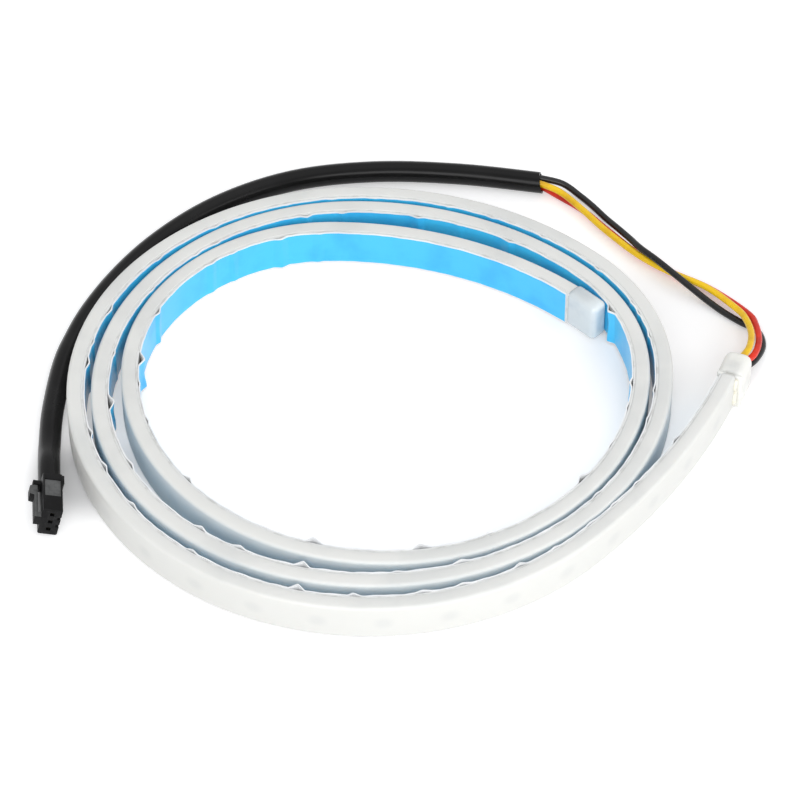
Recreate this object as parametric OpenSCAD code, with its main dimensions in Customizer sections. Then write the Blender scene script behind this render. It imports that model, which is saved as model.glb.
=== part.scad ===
// A flexible light strip for the edge of a boot lid, coiled on its edge as it is
// sold: a milky silicone profile with a lit board inside, tape and release film on
// its back, a cap at each end, and a short lead in a black sleeve with a 3-way plug.
// +X right, +Y back, +Z up. Along the strip, x is outward from the coil and y is
// the way the strip runs, from its inner end cap to its lead cap.

/* [Strip] */
// Height of the silicone profile, which stands on its long edge
strip_h = 12; // [11:0.5:15]
// Milky wall in front of the lights
lens_wall = 1.1; // [0.9:0.1:1.8]
// Wall behind the board
back_wall = 0.7; // [0.6:0.1:1.2]
// Wall above and below the hollow
side_wall = 1.4; // [1.2:0.1:1.6]
// Rounding of the profile's long edges
edge_r = 1; // [0.6:0.1:1.2]

/* [Tape] */
// Thickness of the double-sided foam tape
tape_t = 0.6; // [0.4:0.1:1]
// How far the tape stays inside the profile's long edges
tape_inset = 0.4; // [0.4:0.1:1]
// Thickness of the blue release film
film_t = 0.2; // [0.15:0.05:0.3]
// How much of the film stands past the tape at each long edge
film_lap = 0.3; // [0.1:0.1:0.4]
// Rise of the film's tall buckles
tall_buckle = 2; // [1:0.1:2.4]
// Rise of the film's middling buckles
mid_buckle = 1.2; // [0.8:0.1:1.4]
// Rise of the film's low buckles
low_buckle = 0.6; // [0.5:0.1:0.7]
// Width of a buckle along the film
buckle_w = 4; // [3:0.5:5]

/* [Coil] */
// Mean radius of the innermost turn
coil_r = 68; // [62:1:90]
// Mean room between one turn and the next
turn_gap = 1.4; // [1.3:0.1:3]
// How far round the strip's open tail bends, in degrees
tail_sweep = 23.8; // [12:0.5:30]

/* [Board] */
// Thickness of the flexible board
board_t = 0.2; // [0.1:0.05:0.3]
// Room between the board's edges and the profile's hollow
board_room = 0.6; // [0.3:0.1:0.8]
// Distance from one light to the next; the two colours take turns
led_pitch = 9; // [8:0.5:18]
// Length of a light along the strip
led_l = 3.5; // [2.8:0.1:4]
// Height of a light across the strip
led_w = 2.8; // [2:0.1:3.5]
// How far a light stands off the board
led_t = 0.7; // [0.5:0.1:0.9]

/* [Caps] */
// Wall of the caps above and below the profile
cap_wall = 0.5; // [0.4:0.1:0.8]
// Wall of the caps beside the profile, where the next turn leaves room
cap_side = 1.2; // [0.8:0.1:1.4]
// How far a cap reaches over the profile
cap_grip = 6; // [4:0.5:8]
// Solid end of the inner end cap
end_nose = 4; // [3:0.5:6]
// Solid end of the lead cap, round the wires
lead_nose = 4.7; // [4:0.1:7]
// Rounding of the caps' corners
cap_r = 1.8; // [1:0.1:2.2]

/* [Lead] */
// Diameter of each insulated wire
wire_d = 2; // [1.6:0.1:2]
// Room between the wires and the profile's hollow, each side
wire_room = 0.2; // [0.2:0.1:0.5]
// Outer diameter of the black sleeve
sleeve_d = 6.5; // [6.2:0.1:6.8]
// Wall of the black sleeve
sleeve_wall = 0.5; // [0.4:0.05:0.6]

/* [Plug] */
// Distance between the plug's three contacts
way_pitch = 3; // [2.8:0.1:3.5]
// Thickness of the plug's housing
plug_t = 5.6; // [5.4:0.1:7]
// Length of the plug's housing
plug_l = 14; // [13:0.5:18]
// Wall at the ends of the row of contacts
plug_end_wall = 0.85; // [0.7:0.05:1.5]
// Width of each contact cavity
way_w = 2.2; // [2:0.1:2.4]
// Thickness of the latch arm
latch_t = 1; // [0.8:0.1:1.2]
// Gap under the latch arm
latch_gap = 0.9; // [0.5:0.1:1]

/* [Hidden] */
$fa = 4;
$fs = 0.3;
overlap = 0.05;
milk = [0.93, 0.94, 0.93];
sky = [0.16, 0.62, 0.93];

// Layers of the strip, outward from the middle of its whole thickness
hollow_t = wire_d + 2 * wire_room;
profile_t = lens_wall + hollow_t + back_wall;
strip_t = profile_t + tape_t + film_t;
front_x = strip_t / 2;
hollow_x1 = front_x - lens_wall;
hollow_x0 = hollow_x1 - hollow_t;
back_x = front_x - profile_t;
tape_x = back_x - tape_t;
film_x = tape_x - film_t;
hollow_h = strip_h - 2 * side_wall;
board_h = hollow_h - 2 * board_room;
mid_z = cap_wall + strip_h / 2;

// The coil: arcs of an eighth of a turn that meet without a corner, each wider
// than the last by an eighth of the pitch between turns. A springy strip never
// lies quite round, so each arc also adds its own bend to that even spiral.
eighth = 360 / 8;
first_angle = 45;
bends = [
  40, -11.2, -11.2, 4, 3, 1, 3, -19,
  21, -3, -1, -3, 3, 7, 3, -18,
  19, 1, -4, 2, 1, 2, 110
];
arcs = len(bends);
last = arcs - 1;
coil_start = [coil_r - 12, coil_r - 33.4];
arc_r = [for (i = [0:last]) coil_r + i * (strip_t + turn_gap) / 8 + bends[i]];
arc_from = [for (i = [0:last]) (first_angle + i * eighth) % 360];
arc_sweep = [for (i = [0:last]) i == last ? tail_sweep : eighth];

function spoke(a) = [cos(a), sin(a)];
function centre(i) = i == 0
  ? coil_start - arc_r[0] * spoke(first_angle)
  : centre(i - 1) + (arc_r[i - 1] - arc_r[i]) * spoke(arc_from[i]);
function reach(i) = i == 0 ? 0 : reach(i - 1) + arc_r[i - 1] * arc_sweep[i - 1] * PI / 180;

arc_c = [for (i = [0:last]) centre(i)];
arc_s = [for (i = [0:arcs]) reach(i)];
tail_angle = arc_from[last] + tail_sweep;
tail_end = arc_c[last] + arc_r[last] * spoke(tail_angle);
strip_l = arc_s[arcs];

// Where the strip stands: the middle of everything but the lead is over the origin
function on_front(i, a) = arc_c[i] + (arc_r[i] + front_x) * spoke(a);
outline = [for (i = [0:last]) for (a = [0:1:arc_sweep[i]]) on_front(i, arc_from[i] + a)];
cap_h = strip_h + 2 * cap_wall;
function tail_point(x, y) = tail_end + x * spoke(tail_angle) + y * spoke(tail_angle + 90);
cap_corner = tail_point(front_x + cap_side - cap_r, lead_nose - cap_r);
low_x = min([for (p = outline) p.x]);
high_x = max(max([for (p = outline) p.x]), cap_corner.x + cap_r);
low_y = min([for (p = outline) p.y]);
high_y = max([for (p = outline) p.y]);
home = [-(low_x + high_x) / 2, -(low_y + high_y) / 2, 0];

// Buckles of the release film, as headings of the coil in whole degrees counted
// on from turn to turn. The higher ones stand where the turns lie well apart.
tall_at = [177, 253, 278, 322, 546, 616, 976];
mid_at = [
  106, 157, 219, 354, 420, 438, 462, 567, 592, 602, 648,
  877, 894, 914, 924, 936, 953, 987, 1000, 1008, 1020, 1048
];
low_at = [
  94, 122, 130, 186, 198, 294, 334, 346, 430, 453, 486, 492, 508, 530, 635,
  680, 704, 713, 732, 741, 746, 762, 776, 786, 794, 807, 816, 826, 836, 842,
  858, 888, 1028, 1036, 1039, 1042
];

// The lead's route over the ground, chosen by hand. The sleeve runs round behind
// the coil, and the three wires wander from the lead cap to its open mouth.
sleeve_rest = sleeve_d / 2;
sleeve_route = [
  [43, 95, sleeve_rest], [18, 98.9, sleeve_rest], [-8, 99.9, sleeve_rest],
  [-33, 95.8, sleeve_rest], [-55.5, 84.5, sleeve_rest], [-74, 67.3, sleeve_rest],
  [-88, 46.3, sleeve_rest], [-97, 23.8, sleeve_rest], [-100.3, 1, sleeve_rest],
  [-100.6, -16, sleeve_rest + 0.2]
];
yellow_route = [
  [101.8, 19.5, 8.2], [103, 27, 6.6], [101.9, 34.5, 5.1], [99.3, 40.2, 4],
  [91.2, 50, 2.9], [80.6, 56.8, 2.65], [71.5, 64, 2.65], [61.7, 75, 2.65],
  [54.5, 84.6, 2.8], [48.5, 91, 3.3]
];
red_route = [
  [103.2, 18.6, 6], [105.2, 25.5, 5], [104.8, 33, 4], [102.6, 39.3, 2.9],
  [92.1, 51.3, 1.2], [81.5, 58.1, 1.05], [72.5, 65.1, 1.05], [62.9, 76, 1.05],
  [55.4, 85.2, 1.05], [48.6, 91.1, 1.1]
];
black_route = [
  [103.6, 19, 3.2], [106.6, 26.5, 1.9], [105.4, 33.5, 1.1], [100.4, 37.5, 1.05],
  [95.7, 41.6, 1.05], [91, 45.8, 1.8], [86.2, 49.9, 3.3], [81.3, 54.4, 4.6],
  [76.6, 59.8, 4.8], [71.9, 65.5, 4.3], [69.3, 70.3, 3.2], [66, 75.7, 2.2],
  [62.3, 81.3, 1.3], [58.5, 86.9, 1.05], [54.7, 91.4, 1.2], [49.6, 95.2, 2.6]
];

// The plug leans on its long edge at the end of the sleeve and faces the front
plug_lean = 14;
plug_turn = 4;
plug_h = 2 * way_pitch + way_w + 2 * plug_end_wall + 0.4;
plug_rest = plug_h / 2 * cos(plug_lean) + plug_t / 2 * sin(plug_lean);
plug_back = [-99.6, -33, plug_rest];
plug_ahead = [sin(plug_turn), -cos(plug_turn), 0];
fan_l = 5;
front_wall = 1;
way_room = 0.15;
terminal_l = plug_l - fan_l - front_wall;

// Wires inside the sleeve lie in a triangle, and fan out to the plug's row
bundle_r = 1.4;
fan_half = bundle_r * cos(30) + wire_d / 2 + 0.1;
function bundle_at(k) = bundle_r * spoke(k);
yellow_in = bundle_at(30);
black_in = bundle_at(150);
red_in = bundle_at(270);

// A place is reached in three steps, whole, thousandths and the rest, which keeps
// every decimal, so that neighbouring arcs meet face to face
module at_point(p) {
  whole = [for (x = p) round(x)];
  fine = [for (x = p - whole) round(x * 1000) / 1000];
  rest = p - whole - fine;
  translate([whole.x, whole.y, 0]) translate([fine.x, fine.y, 0]) translate([rest.x, rest.y, 0])
    children();
}

// One eighth after another, the profile is turned about each arc's own centre
module along_coil(from = 0, to = last) {
  for (i = [from:to])
    at_point(arc_c[i])
      rotate_extrude(angle = arc_sweep[i], start = arc_from[i], convexity = 4)
        translate([arc_r[i], 0]) children();
}

module at_start() {
  at_point(coil_start) rotate([0, 0, first_angle]) children();
}

module at_tail() {
  at_point(tail_end) rotate([0, 0, tail_angle]) children();
}

function arc_of(s) = max([for (i = [0:last]) if (arc_s[i] <= s) i]);
function angle_of(s) = let (i = arc_of(s)) arc_from[i] + (s - arc_s[i]) / arc_r[i] * 180 / PI;

module on_arc(i, a) {
  at_point(arc_c[i]) rotate([0, 0, a]) translate([arc_r[i], 0, 0]) children();
}

// A place so far along the strip
module at_length(s) {
  on_arc(arc_of(s), angle_of(s)) children();
}

module at_heading(h) {
  i = floor((h - first_angle) / eighth);
  on_arc(i, arc_from[i] + (h - first_angle) % eighth) children();
}

// Section of the strip's layers: outward offset and height
module slab(x0, x1, h) {
  translate([x0, mid_z - h / 2]) square([x1 - x0, h]);
}

// A rectangle with round corners, each of n flats
function corner(x, y, r, n, from) = [for (k = [0:n]) [x, y] + r * spoke(from + k * 90 / n)];

module round_rect(x0, x1, y0, y1, r, n) {
  polygon(concat(
    corner(x1 - r, y0 + r, r, n, 270), corner(x1 - r, y1 - r, r, n, 0),
    corner(x0 + r, y1 - r, r, n, 90), corner(x0 + r, y0 + r, r, n, 180)
  ));
}

module profile_outline() {
  round_rect(back_x, front_x, cap_wall, cap_wall + strip_h, edge_r, 2);
}

module profile_section() {
  difference() {
    profile_outline();
    slab(hollow_x0, hollow_x1, hollow_h);
  }
}

module silicone_profile() {
  color(milk) along_coil() profile_section();
}

// The board runs from just inside the end cap to the wires' solder joints
board_start = 3;
solder_l = 2.4;
board_end = cap_grip + 2;
board_x = hollow_x0 + board_t;

// What a layer leaves free at the strip's two ends
module ends(start_l, end_l) {
  half = strip_t / 2 + 4 * overlap;
  at_start() translate([-half, -1, 0]) cube([2 * half, 1 + start_l, cap_h]);
  at_tail() translate([-half, -end_l, 0]) cube([2 * half, end_l + 1, cap_h]);
}

module flex_board() {
  color([0.95, 0.93, 0.86]) difference() {
    along_coil() slab(hollow_x0, board_x, board_h);
    ends(board_start, board_end);
  }
}

// Lights on the board, facing outward
led_first = board_start + 6;
led_count = floor((strip_l - board_end - solder_l - 6 - led_first) / led_pitch);
led_room = 0.01;

module led() {
  translate([board_x + led_room, -led_l / 2, mid_z - led_w / 2]) cube([led_t, led_l, led_w]);
}

module leds(from) {
  for (k = [from:2:led_count - 1]) at_length(led_first + k * led_pitch) led();
}

module red_leds() {
  color([0.96, 0.93, 0.9]) leds(0);
}

module amber_leds() {
  color([0.98, 0.85, 0.3]) leds(1);
}

// One resistor for each group of three lights of a colour
resistor_size = [0.5, 2, 1.25];

module resistors() {
  color([0.1, 0.1, 0.12]) for (k = [2:3:led_count - 2])
    at_length(led_first + (k + 0.5) * led_pitch)
      translate([board_x + led_room, -resistor_size.y / 2, mid_z - resistor_size.z / 2])
        cube(resistor_size);
}

// Three solder joints side by side at the board's end, each with a wire in it
wire_x = (board_x + hollow_x1) / 2;
wire_gap = 0.4;
wire_step = wire_d + wire_gap;
wire_start = board_end + 2;
face_room = 0.02;

module solder_joints() {
  r = wire_d / 2;
  color([0.75, 0.75, 0.77]) for (k = [-1:1])
    at_length(strip_l - wire_start - solder_l)
      translate([board_x + led_room, 0, mid_z + k * wire_step]) rotate([-90, 0, 0])
        intersection() {
          translate([0, -r, 0]) cube([2 * r, 2 * r, solder_l]);
          cylinder(h = solder_l, r = 1.8 * r);
        }
}

module mounting_tape() {
  color([0.86, 0.87, 0.86]) difference() {
    along_coil() slab(tape_x, back_x, strip_h - 2 * tape_inset);
    ends(cap_grip, cap_grip);
  }
}

// Release film: it lies on the tape and stands off it in short sharp buckles
film_h = strip_h - 2 * tape_inset + 2 * film_lap;

module buckle(rise) {
  half = buckle_w / 2;
  t = film_t;
  root = 0.85 * t;
  lift = 0.25 * t;
  foot = max(rise * 0.3, t + lift);
  crest = rise * 0.85;
  translate([tape_x, 0, mid_z - film_h / 2]) linear_extrude(film_h) polygon([
    [-lift, half + t], [-root, half + t], [-root, half], [-foot, half * 0.62],
    [-crest, half * 0.16], [-rise, 0], [-crest, -half * 0.16],
    [-foot, -half * 0.62], [-root, -half], [-root, -half - t], [-lift, -half - t],
    [-lift, -half], [t - foot, -half * 0.62 + t], [t - crest, -half * 0.1],
    [1.4 * t - rise, 0], [t - crest, half * 0.1], [t - foot, half * 0.62 - t],
    [-lift, half]
  ]);
}

module under_buckle() {
  translate([film_x - 1, -buckle_w / 2, 0])
    cube([film_t + 2, buckle_w, cap_h]);
}

module release_film() {
  color(sky) {
    difference() {
      along_coil() slab(film_x, tape_x, film_h);
      ends(cap_grip, cap_grip);
      for (h = concat(tall_at, mid_at, low_at)) at_heading(h) under_buckle();
    }
    for (h = tall_at) at_heading(h) buckle(tall_buckle);
    for (h = mid_at) at_heading(h) buckle(mid_buckle);
    for (h = low_at) at_heading(h) buckle(low_buckle);
  }
}

// A moulded cap: a block with round corners that the profile pushes into
module cap_block(x0, x1, y0, y1) {
  intersection() {
    linear_extrude(cap_h) round_rect(x0, x1, y0, y1, cap_r, 4);
    translate([0, y1, 0]) rotate([90, 0, 0]) linear_extrude(y1 - y0)
      round_rect(x0, x1, 0, cap_h, cap_r, 4);
    translate([x0, 0, 0]) rotate([90, 0, 90]) linear_extrude(x1 - x0)
      round_rect(y0, y1, 0, cap_h, cap_r, 4);
  }
}

module end_cap() {
  color([0.8, 0.87, 0.9, 0.9]) difference() {
    at_start() cap_block(back_x - cap_side, front_x + cap_wall, -end_nose, cap_grip);
    along_coil(0, 0) profile_outline();
  }
}

seal_l = board_start - 0.2;

module end_cap_seal() {
  color([0.85, 0.88, 0.88]) intersection() {
    along_coil(0, 0) slab(hollow_x0, hollow_x1, hollow_h);
    at_start() translate([-5, -1, 0]) cube([10, 1 + seal_l, cap_h]);
  }
}

bore_room = 0.1;
rim_l = 1.4;

module lead_cap() {
  color(milk) difference() {
    union() {
      at_tail() cap_block(back_x - cap_side, front_x + cap_side, -cap_grip, lead_nose);
      at_tail() translate([0, rim_l - cap_grip, 0]) rotate([90, 0, 0]) linear_extrude(rim_l)
        round_rect(back_x - cap_side, front_x + cap_side, 0, cap_h, edge_r, 4);
    }
    along_coil(last, last) profile_outline();
    for (k = [-1:1]) at_tail() translate([wire_x, -1, mid_z + k * wire_step])
      rotate([-90, 0, 0]) cylinder(h = lead_nose + 2, d = wire_d + bore_room);
  }
}

// Glue squeezed out of the lead cap in a wavy bead down the strip's front face
bead_r = 1;
bead_room = 0.03;
bead = [[11.9, 0.1], [9.4, -0.8], [7, -0.1], [4.2, -1.1], [1.6, -0.2]];

module lead_cap_glue() {
  color(milk) at_length(strip_l - cap_grip) difference() {
    for (k = [0:len(bead) - 2]) hull() for (p = [bead[k], bead[k + 1]])
      translate([front_x, p.y, p.x]) sphere(bead_r, $fn = 16);
    translate([front_x - 2, -5, -1]) cube([2 + bead_room, 12, cap_h + 2]);
    translate([front_x - 1, -bead_room, -1]) cube([5, 5, cap_h + 2]);
  }
}

// A tube swept along a route: rings square to the route, joined ring to ring
function unit(v) = v / norm(v);
function way(p, k) = unit(p[min(k + 1, len(p) - 1)] - p[max(k - 1, 0)]);
function ring(p, k, r, sides, first, last) =
  let (t = k == 0 ? first : k == len(p) - 1 ? last : way(p, k))
  let (side = unit(cross([0, 0, 1], t)))
  let (up = cross(t, side))
  [for (j = [0:sides - 1]) p[k] + r * (cos(j * 360 / sides) * side + sin(j * 360 / sides) * up)];
function skin(n, m, at, flip) = [
  for (k = [0:n - 2]) for (j = [0:m - 1])
    let (a = at + k * m + j)
    let (b = at + k * m + (j + 1) % m)
    flip ? [a, a + m, b + m, b] : [a, b, b + m, a + m]
];

module rod(p, r, sides, first, last) {
  n = len(p);
  polyhedron(
    [for (k = [0:n - 1]) each ring(p, k, r, sides, first, last)],
    concat(
      [[for (j = [0:sides - 1]) sides - 1 - j]],
      [[for (j = [0:sides - 1]) (n - 1) * sides + j]],
      [for (f = skin(n, sides, 0, false)) each [[f[0], f[1], f[2]], [f[0], f[2], f[3]]]]
    )
  );
}

module pipe(p, r, bore, sides, first, last) {
  n = len(p);
  m = n * sides;
  polyhedron(
    concat(
      [for (k = [0:n - 1]) each ring(p, k, r, sides, first, last)],
      [for (k = [0:n - 1]) each ring(p, k, bore, sides, first, last)]
    ),
    concat(
      [for (f = skin(n, sides, 0, false)) each [[f[0], f[1], f[2]], [f[0], f[2], f[3]]]],
      [for (f = skin(n, sides, m, true)) each [[f[0], f[1], f[2]], [f[0], f[2], f[3]]]],
      [for (j = [0:sides - 1]) each [
        [j, m + j, m + (j + 1) % sides], [j, m + (j + 1) % sides, (j + 1) % sides]
      ]],
      [for (j = [0:sides - 1]) let (a = m - sides + j) let (b = m - sides + (j + 1) % sides) each [
        [a, b, m + b], [a, m + b, m + a]
      ]]
    )
  );
}

// A smooth curve through the route's points
function bend(a, b, c, d, t) =
  0.5 * (2 * b + (c - a) * t + (2 * a - 5 * b + 4 * c - d) * t * t
  + (3 * b - a - 3 * c + d) * t * t * t);
function smooth(p, steps) = [
  for (k = [0:len(p) - 2]) for (j = [0:steps - 1])
    bend(p[max(k - 1, 0)], p[k], p[k + 1], p[min(k + 2, len(p) - 1)], j / steps),
  p[len(p) - 1]
];

sleeve_near = plug_back - 8 * plug_ahead - [0, 0, 0.3];
sleeve_points = smooth(concat(sleeve_route, [sleeve_near, plug_back]), 2);
sleeve_first = unit(sleeve_route[1] - sleeve_route[0]);

module cable_sleeve() {
  color([0.05, 0.05, 0.05]) pipe(
    sleeve_points, sleeve_d / 2, sleeve_d / 2 - sleeve_wall, 12,
    sleeve_first, plug_ahead
  );
}

// Places in the plug: u across it, v up the row of contacts, w back from its face
plug_side = cross([0, 0, 1], plug_ahead);
plug_u = cos(plug_lean) * plug_side - sin(plug_lean) * [0, 0, 1];
plug_v = sin(plug_lean) * plug_side + cos(plug_lean) * [0, 0, 1];
function in_plug(u, v, w) = plug_back + u * plug_u + v * plug_v + (plug_l - w) * plug_ahead;

function beside(p, k, o) =
  let (t = k == 0 ? sleeve_first : k == len(p) - 1 ? plug_ahead : way(p, k))
  let (side = unit(cross([0, 0, 1], t)))
  p[k] + o.x * side + o.y * cross(t, side);
function wire_in(z, s) =
  let (i = arc_of(s))
  concat(arc_c[i] + (arc_r[i] + wire_x) * spoke(angle_of(s)), [z]);
function wire_out(z, y) = concat(tail_point(wire_x, y), [z]);
tail_way = concat(spoke(angle_of(strip_l - wire_start) + 90), [0]);
function wire_free(z, route, inside) =
  smooth(concat([wire_out(z, lead_nose + 0.5)], route, [beside(sleeve_points, 0, inside)]), 2);
function wire_points(level, route, inside, row) =
  let (z = mid_z + level * wire_step)
  let (v = row * way_pitch)
  concat(
    [wire_in(z, strip_l - wire_start + face_room)],
    [wire_in(z, strip_l - wire_start / 2)],
    [wire_out(z, 0)],
    wire_free(z, route, inside),
    [for (k = [1:len(sleeve_points) - 1]) beside(sleeve_points, k, inside)],
    [in_plug(0, v, plug_l - fan_l + 0.8)],
    [in_plug(0, v, plug_l - fan_l + face_room)]
  );

module wire(level, route, inside, row) {
  rod(wire_points(level, route, inside, row), wire_d / 2, 8, tail_way, plug_ahead);
}

module yellow_wire() {
  color([0.95, 0.7, 0.05]) wire(1, yellow_route, yellow_in, 1);
}

module red_wire() {
  color([0.85, 0.1, 0.05]) wire(0, red_route, red_in, -1);
}

module black_wire() {
  color([0.06, 0.06, 0.06]) wire(-1, black_route, black_in, 0);
}

// Plug: u across, v up the row, w from the mating face at 0 to the back
module in_plug_frame() {
  translate(plug_back) multmatrix([
    [plug_u.x, plug_v.x, -plug_ahead.x, 0],
    [plug_u.y, plug_v.y, -plug_ahead.y, 0],
    [plug_u.z, plug_v.z, -plug_ahead.z, 0],
    [0, 0, 0, 1]
  ]) translate([0, 0, -plug_l]) children();
}

module block(u0, u1, v0, v1, w0, w1) {
  translate([u0, v0, w0]) cube([u1 - u0, v1 - v0, w1 - w0]);
}

half_t = plug_t / 2;
half_h = plug_h / 2;
silo_l = 6;
notch = 1;
latch_w = 3.3;
guard_l = 1.5;
latch_l = plug_l - guard_l - 0.4;
nub_l = 3.8;
nub_h = 1.2;
latch_in = half_t + latch_gap;
latch_out = latch_in + latch_t;

module plug_body() {
  c = 0.35;
  linear_extrude(plug_l) polygon([
    [-half_t + c, -half_h], [half_t - c, -half_h], [half_t, -half_h + c],
    [half_t, half_h - c], [half_t - c, half_h], [-half_t + c, half_h],
    [-half_t, half_h - c], [-half_t, -half_h + c]
  ]);
}

module latch() {
  block(-latch_out, -latch_in, -latch_w / 2, latch_w / 2, 0, latch_l);
  block(-latch_in - overlap, -half_t + overlap, -latch_w / 2, latch_w / 2, 0, 1.6);
  translate([0, latch_w / 2, 0]) rotate([90, 0, 0]) linear_extrude(latch_w) polygon([
    [-latch_out + overlap, latch_l - nub_l], [-latch_out - nub_h, latch_l - nub_l + 0.4],
    [-latch_out - nub_h, latch_l - 0.3], [-latch_out + overlap, latch_l]
  ]);
  block(-latch_out - 0.3, -half_t + overlap, -latch_w / 2, latch_w / 2, plug_l - guard_l, plug_l);
}

module plug_housing() {
  color([0.07, 0.07, 0.07]) in_plug_frame() difference() {
    union() {
      plug_body();
      latch();
      translate([0, half_h - 0.5, 0]) rotate([90, 0, 0]) linear_extrude(plug_h - 1) polygon([
        [half_t - overlap, plug_l - 4.2], [half_t + 0.6, plug_l - 3],
        [half_t + 0.6, plug_l], [half_t - overlap, plug_l]
      ]);
    }
    for (k = [-1:1]) {
      block(-way_w / 2, way_w / 2, k * way_pitch - way_w / 2, k * way_pitch + way_w / 2,
        front_wall, plug_l - fan_l + overlap);
      block(-0.65, 0.65, k * way_pitch - 0.65, k * way_pitch + 0.65, -1, front_wall + overlap);
    }
    block(-fan_half, fan_half, -way_pitch - way_w / 2, way_pitch + way_w / 2,
      plug_l - fan_l, plug_l + 1);
    for (v = [-way_pitch / 2, way_pitch / 2])
      block(half_t - notch, half_t + 1, v - 0.5, v + 0.5, -1, silo_l);
    for (v = [-half_h - 1, half_h - 0.4])
      block(-half_t + 0.5, half_t - 0.5, v, v + 1.4, plug_l - 8.6, plug_l - 2.2);
  }
}

// Socket terminal: a square box open to the front, with the wire's crimp behind it
module terminal(row) {
  t = way_w / 2 - way_room;
  color([0.8, 0.68, 0.35]) in_plug_frame() translate([0, row * way_pitch, 0]) difference() {
    union() {
      block(-t, t, -t, t, front_wall + way_room, front_wall + terminal_l * 0.65);
      block(-t * 0.7, t * 0.7, -t * 0.7, t * 0.7, front_wall + terminal_l * 0.65 - overlap,
        front_wall + terminal_l);
    }
    block(-t + 0.35, t - 0.35, -t + 0.35, t - 0.35, 0, front_wall + terminal_l * 0.5);
  }
}

module yellow_terminal() { terminal(1); }

module red_terminal() { terminal(-1); }

module black_terminal() { terminal(0); }

translate(home) silicone_profile();
translate(home) flex_board();
translate(home) red_leds();
translate(home) amber_leds();
translate(home) resistors();
translate(home) solder_joints();
translate(home) mounting_tape();
translate(home) release_film();
translate(home) end_cap();
translate(home) end_cap_seal();
translate(home) lead_cap();
translate(home) lead_cap_glue();
translate(home) yellow_wire();
translate(home) red_wire();
translate(home) black_wire();
translate(home) cable_sleeve();
translate(home) plug_housing();
translate(home) yellow_terminal();
translate(home) red_terminal();
translate(home) black_terminal();
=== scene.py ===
"""Looks for a coiled boot-lid light strip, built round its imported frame.

+X right, +Y back, +Z up, in metres. Along the strip, outward is away from the
coil's middle, and length runs from the inner end cap to the lead cap.
"""

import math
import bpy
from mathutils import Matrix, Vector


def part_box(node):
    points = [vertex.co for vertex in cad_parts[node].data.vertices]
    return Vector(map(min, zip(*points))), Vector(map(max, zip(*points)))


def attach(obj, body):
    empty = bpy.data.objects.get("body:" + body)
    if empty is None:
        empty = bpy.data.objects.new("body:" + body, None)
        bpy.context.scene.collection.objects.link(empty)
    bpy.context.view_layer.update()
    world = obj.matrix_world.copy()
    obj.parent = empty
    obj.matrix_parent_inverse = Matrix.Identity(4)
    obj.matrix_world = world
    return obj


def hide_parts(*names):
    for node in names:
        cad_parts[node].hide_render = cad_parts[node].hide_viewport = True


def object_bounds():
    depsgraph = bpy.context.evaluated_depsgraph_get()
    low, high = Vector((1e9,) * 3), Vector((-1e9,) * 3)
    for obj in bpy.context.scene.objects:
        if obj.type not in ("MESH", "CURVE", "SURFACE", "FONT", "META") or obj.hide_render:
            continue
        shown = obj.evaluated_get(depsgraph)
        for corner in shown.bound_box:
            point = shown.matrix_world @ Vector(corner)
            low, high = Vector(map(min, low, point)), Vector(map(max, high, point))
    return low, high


bl_info = {
    "name": "Coiled Light Strip",
    "version": (1, 0, 0),
    "blender": (4, 5, 0),
    "location": "View3D > Sidebar > Light Strip",
    "description": "Silicone strip, release film, caps, lead and plug round the packed frame",
    "category": "Add Mesh",
}

import bmesh
import bpy
import numpy as np
from bpy.props import FloatProperty, FloatVectorProperty, IntProperty, PointerProperty
from mathutils import Vector

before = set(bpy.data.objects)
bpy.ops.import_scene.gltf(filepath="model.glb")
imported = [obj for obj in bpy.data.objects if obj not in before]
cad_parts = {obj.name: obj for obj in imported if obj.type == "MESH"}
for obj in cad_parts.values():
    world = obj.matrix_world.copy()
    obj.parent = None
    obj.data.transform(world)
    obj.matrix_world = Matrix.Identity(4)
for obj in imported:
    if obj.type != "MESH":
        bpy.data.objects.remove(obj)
CAD_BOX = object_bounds()

MM = 0.001
BODY = "root"
UP = np.array((0, 0, 1))

# Section of the strip, in mm: offsets outward from the middle of its thickness
STRIP_HEIGHT = 12.0
FRONT_X = 2.5
BACK_X = -1.7
TAPE_X = -2.3
HOLLOW = (-1.0, 1.4, 9.2)
MID_Z = 6.5
CAP_WALL = 0.5
CAP_SIDE = 1.2
CAP_GRIP = 6.0
END_NOSE = 4.0
CAP_LAP = 1.5
CAP_SWELL = 0.8
LEAD_NOSE = 4.7
CAP_HEIGHT = STRIP_HEIGHT + 2 * CAP_WALL
CAP_ROOM = 0.02
OUTER_FADE = 0.25

# The coil: arcs of an eighth of a turn, as in the part's source
COIL_R = 68.0
EIGHTH_STEP = 0.8
EIGHTH = 45.0
TAIL_SWEEP = 23.8
BENDS = (
    40, -11.2, -11.2, 4, 3, 1, 3, -19,
    21, -3, -1, -3, 3, 7, 3, -18,
    19, 1, -4, 2, 1, 2, 110,
)
COIL_START = (COIL_R - 12, COIL_R - 33.4)

# Buckles of the release film, as headings of the coil
TALL_AT = (177, 253, 278, 322, 546, 616, 976)
MIDDLE_AT = (
    106, 157, 219, 354, 420, 438, 462, 567, 592, 602, 648,
    877, 894, 914, 924, 936, 953, 987, 1000, 1008, 1020, 1048,
)
LOW_AT = (
    94, 122, 130, 186, 198, 294, 334, 346, 430, 453, 486, 492, 508, 530, 635,
    680, 704, 713, 732, 741, 746, 762, 776, 786, 794, 807, 816, 826, 836, 842,
    858, 888, 1028, 1036, 1039, 1042,
)
# One more beside the end cap, on the turn behind it
CAP_SIDE_AT = (385,)
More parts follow.
